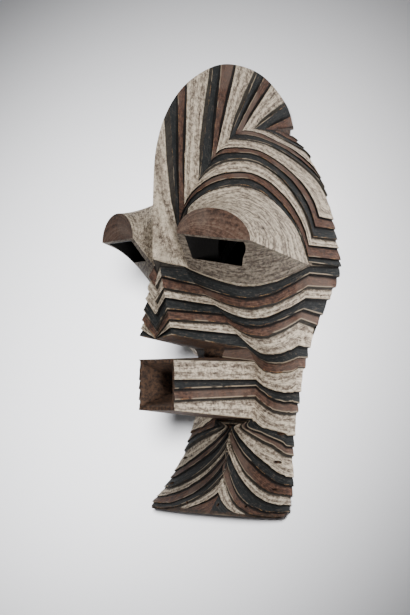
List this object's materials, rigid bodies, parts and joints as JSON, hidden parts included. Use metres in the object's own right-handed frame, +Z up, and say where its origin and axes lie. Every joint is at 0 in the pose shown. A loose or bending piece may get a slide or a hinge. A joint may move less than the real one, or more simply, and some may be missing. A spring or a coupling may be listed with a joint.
{
  "type": "kifwebe mask",
  "caption": "Carved and painted wooden kifwebe face mask with a tall crest, tube eyes, a wedge nose and a block mouth, lying on its back rim.",
  "frame": {"origin": "middle of the floor area under the mask, on the plane of its back rim", "axes": "+Z up out of the face, +Y toward the crown, +X toward the mask's left side"},
  "size_m": [0.26, 0.57, 0.2307],
  "materials": {
    "painted_wood": "matt"
  },
  "bodies": {
    "root": {"mask": "painted_wood"}
  },
  "joints": []
}
